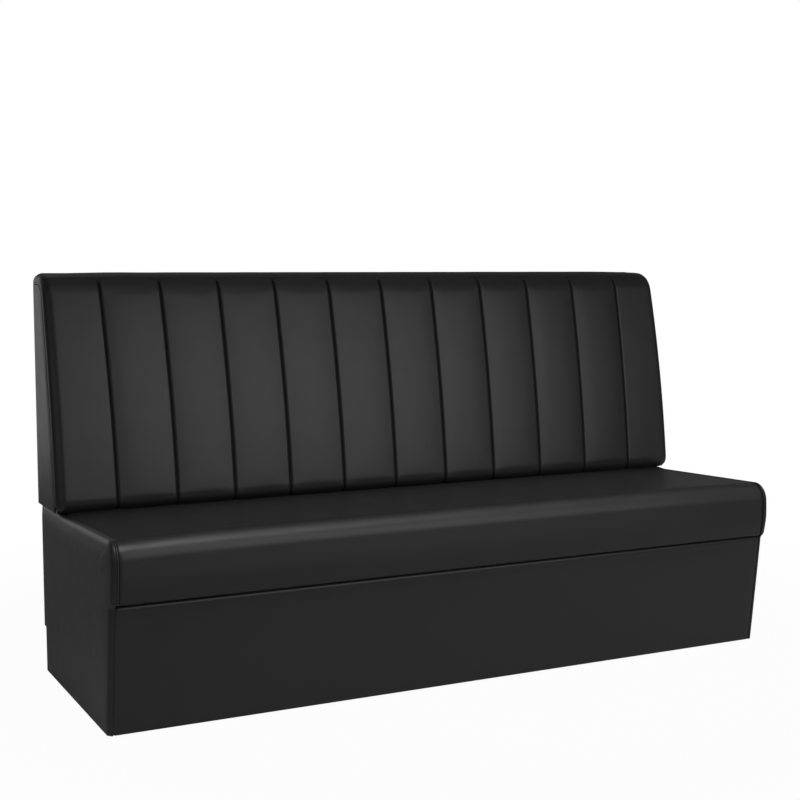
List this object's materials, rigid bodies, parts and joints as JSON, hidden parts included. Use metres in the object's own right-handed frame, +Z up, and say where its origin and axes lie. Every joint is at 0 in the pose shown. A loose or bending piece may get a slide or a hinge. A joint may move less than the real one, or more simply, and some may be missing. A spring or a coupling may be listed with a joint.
{
  "type": "restaurant booth bench",
  "caption": "Single-sided upholstered booth bench: closed plinth with a leaning front, bullnose seat cushion, and a channelled back that leans and rolls over at the top.",
  "frame": {"origin": "on the floor, in the middle of the bench's length and depth", "axes": "+X along the bench, to the right of someone who faces it; +Y from the sitter's knees to the wall behind; +Z up"},
  "size_m": [1.8, 0.64, 1],
  "materials": {
    "vinyl": "black upholstery vinyl, satin, with a fine leather grain",
    "vinyl_piping": "black upholstery vinyl round a cord, satin",
    "seat_foam": "open foam, matt",
    "back_foam": "open foam, matt",
    "channel_filling": "polyester filling, matt",
    "padding": "polyester wadding, matt",
    "plywood": "bare sanded plywood",
    "pine": "bare planed softwood",
    "dust_cloth": "black bonded cloth, matt",
    "zinc_steel": "zinc-plated steel, satin",
    "glide_plastic": "black plastic, matt"
  },
  "bodies": {
    "root": {"back_bolts": "zinc_steel", "back_bottom_rail": "plywood", "back_end_cover_left": "vinyl", "back_end_cover_right": "vinyl", "back_end_frame_left": "plywood", "back_end_frame_right": "plywood", "back_end_padding_left": "padding", "back_end_padding_right": "padding", "back_face_cover": "vinyl", "back_face_panel": "plywood", "back_foam": "back_foam", "back_piping_left": "vinyl_piping", "back_piping_right": "vinyl_piping", "back_rear_cover": "vinyl", "back_rear_panel": "plywood", "back_rib_left": "plywood", "back_rib_right": "plywood", "back_support_rail": "pine", "back_top_cover": "vinyl", "back_top_padding": "padding", "back_top_rail": "pine", "channel_pad_01": "channel_filling", "channel_pad_02": "channel_filling", "channel_pad_03": "channel_filling", "channel_pad_04": "channel_filling", "channel_pad_05": "channel_filling", "channel_pad_06": "channel_filling", "channel_pad_07": "channel_filling", "channel_pad_08": "channel_filling", "channel_pad_09": "channel_filling", "channel_pad_10": "channel_filling", "channel_pad_11": "channel_filling", "channel_pad_12": "channel_filling", "deck_cleats": "pine", "dust_cover": "dust_cloth", "end_cover_left": "vinyl", "end_cover_right": "vinyl", "end_padding_left": "padding", "end_padding_right": "padding", "end_panel_left": "plywood", "end_panel_right": "plywood", "floor_glides": "glide_plastic", "front_bottom_rail": "pine", "front_cover": "vinyl", "front_padding": "padding", "front_panel": "plywood", "front_top_rail": "pine", "plinth_rear_cover": "vinyl", "rear_bottom_rail": "pine", "rear_panel": "plywood", "rear_top_rail": "pine", "recess_panel": "plywood", "rib_left": "plywood", "rib_right": "plywood", "seat_cover": "vinyl", "seat_deck": "plywood", "seat_foam": "seat_foam", "seat_piping_left": "vinyl_piping", "seat_piping_right": "vinyl_piping", "tee_nuts": "zinc_steel"}
  },
  "joints": []
}
